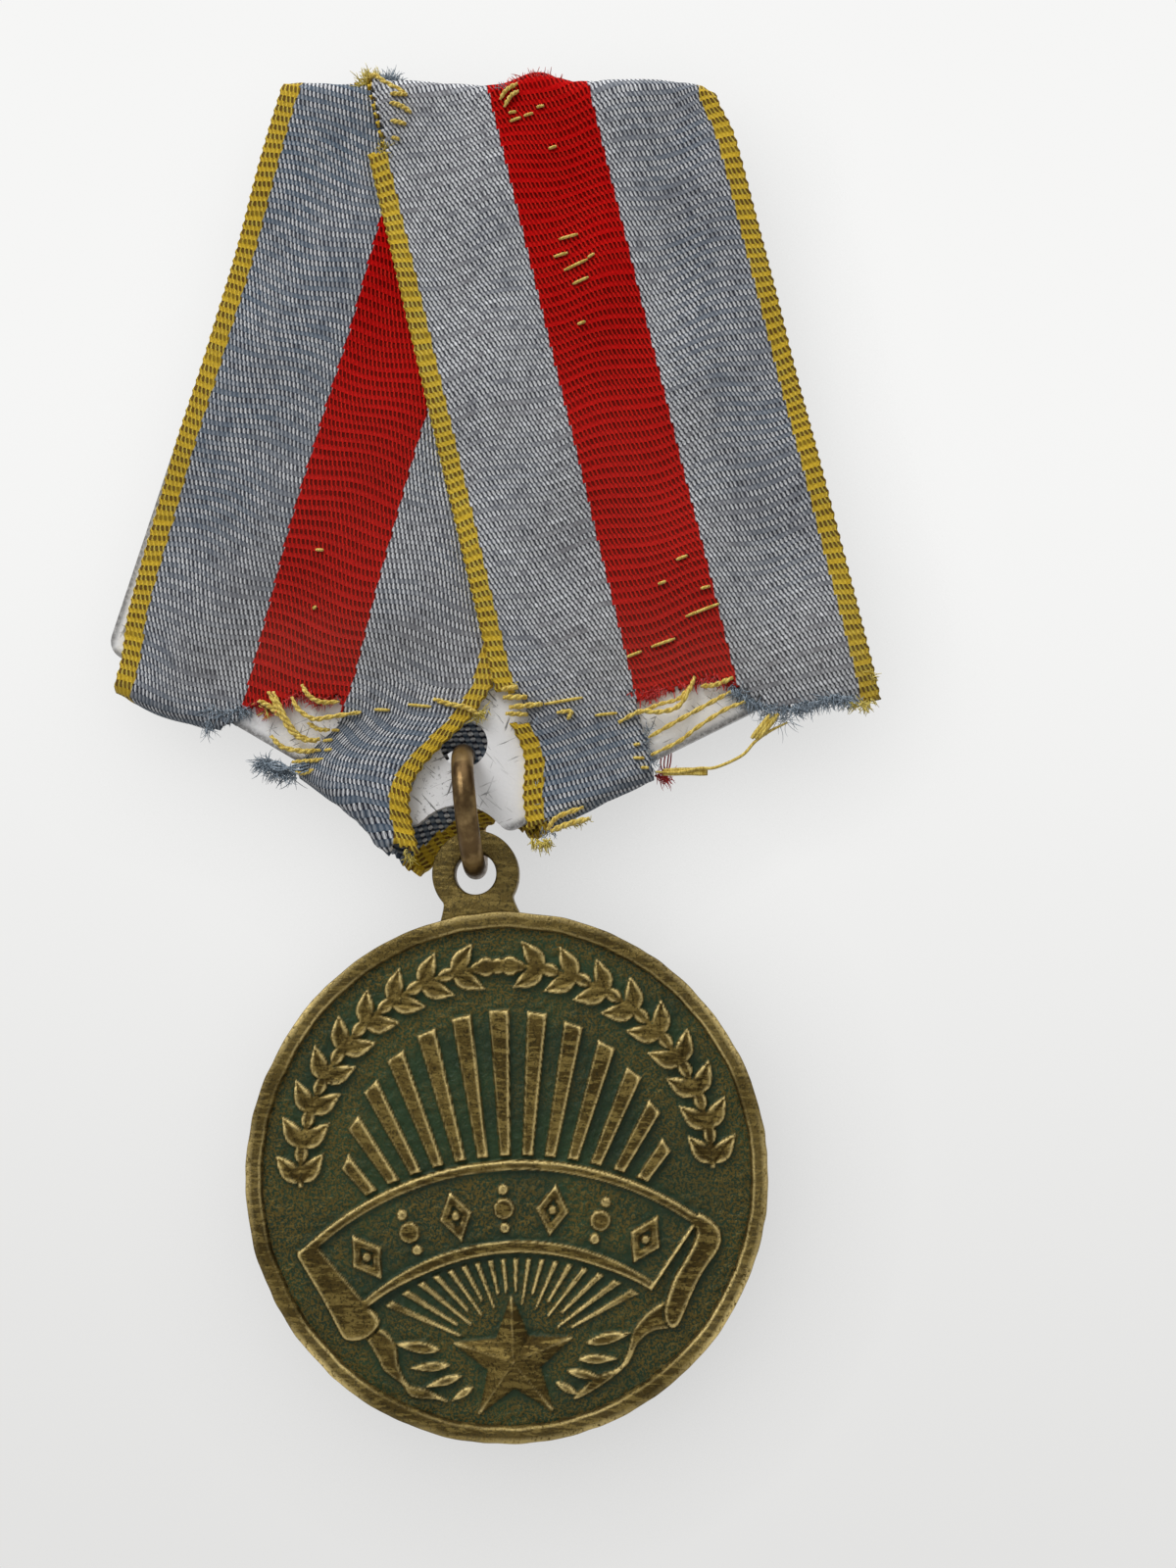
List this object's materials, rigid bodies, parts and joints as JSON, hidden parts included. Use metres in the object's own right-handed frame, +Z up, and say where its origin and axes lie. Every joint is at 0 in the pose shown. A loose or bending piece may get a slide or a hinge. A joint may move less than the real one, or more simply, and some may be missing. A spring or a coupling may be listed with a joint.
{
  "type": "military service medal",
  "caption": "Round struck brass medal hanging by a jump ring from a five-sided metal plate wrapped in worn striped ribbon, with a hinged brooch pin behind.",
  "frame": {"origin": "middle of the brooch needle, where the medal hangs on cloth", "axes": "+Z up along the medal's height, the struck face looks along -Y, +X is to the right of someone looking at the face"},
  "size_m": [0.0481, 0.0086, 0.0858],
  "materials": {
    "plate_aluminium": "bright sheet, finely scratched",
    "ribbon_cloth": "ribbed silk ribbon, striped yellow, blue-grey and red, worn",
    "sewing_thread": "cotton thread",
    "brooch_steel": "dull sheet steel",
    "needle_steel": "drawn wire",
    "rivet_aluminium": "set rivet heads",
    "ring_bronze": "brown patina, worn bright on the crown",
    "disc_brass": "antique brass relief over a green lacquered field"
  },
  "bodies": {
    "suspension": {"backing_plate": "plate_aluminium", "ribbon": "ribbon_cloth", "stitching": "sewing_thread", "hinge_bracket": "brooch_steel", "hinge_axle": "brooch_steel", "pin_catch": "brooch_steel", "bracket_rivets": "rivet_aluminium", "catch_rivets": "rivet_aluminium"},
    "needle": {"brooch_pin": "needle_steel"},
    "ring": {"jump_ring": "ring_bronze"},
    "disc": {"medal_disc": "disc_brass"}
  },
  "joints": [
    {"name": "pin_hinge", "type": "hinge", "parent": "suspension", "child": "needle", "pos_m": [-0.013, 0, 0], "axis": [0, 0, 1], "range_deg": [0, 100]},
    {"name": "ring_swing", "type": "hinge", "parent": "suspension", "child": "ring", "pos_m": [0, -0.0029, -0.0266], "axis": [0, 1, 0], "range_deg": [-3.6, 14]},
    {"name": "disc_flip", "type": "hinge", "parent": "ring", "child": "disc", "pos_m": [0.00053, -0.0029, -0.03016], "axis": [0.9893, 0, 0.1461], "range_deg": [-110, 100]}
  ]
}
